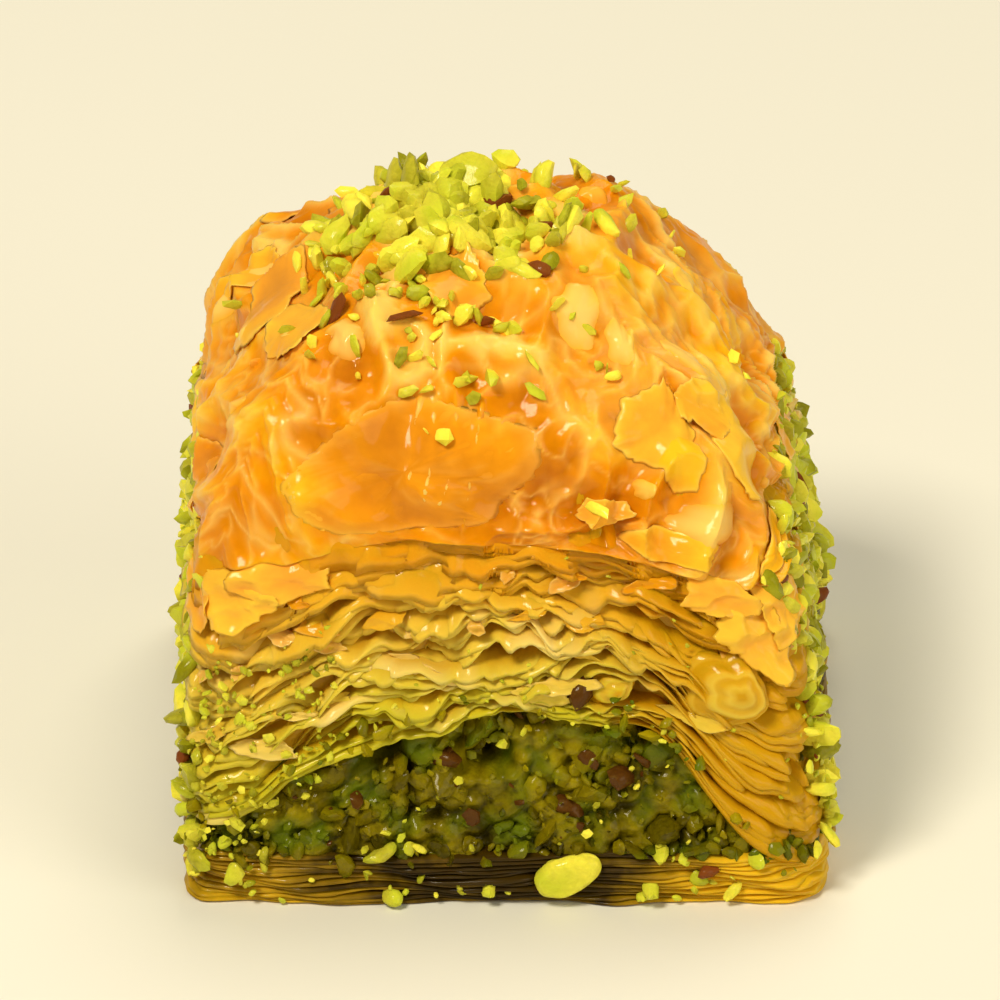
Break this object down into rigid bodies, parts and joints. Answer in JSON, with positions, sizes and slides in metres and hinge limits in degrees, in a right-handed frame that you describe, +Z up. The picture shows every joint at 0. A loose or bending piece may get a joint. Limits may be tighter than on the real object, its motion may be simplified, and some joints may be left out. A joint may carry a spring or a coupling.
{
  "type": "baklava piece",
  "caption": "Square piece of pistachio baklava: a puffed, wrinkled golden crust over a stack of thin pastry leaves, a ground pistachio filling and a thin syrup-soaked pastry foot.",
  "frame": {"origin": "on the underside of the foot, under the middle of the piece", "axes": "+Z up from the foot to the crown, +X to the right and +Y to the back, with the cut side that faces the viewer towards -Y"},
  "size_m": [0.0403, 0.0397, 0.0394],
  "materials": {
    "soaked_pastry": "satin",
    "ground_pistachio": "satin",
    "baked_pastry": "satin"
  },
  "bodies": {
    "root": {"base_pastry": "soaked_pastry", "pistachio_filling": "ground_pistachio", "top_pastry": "baked_pastry"}
  },
  "joints": []
}
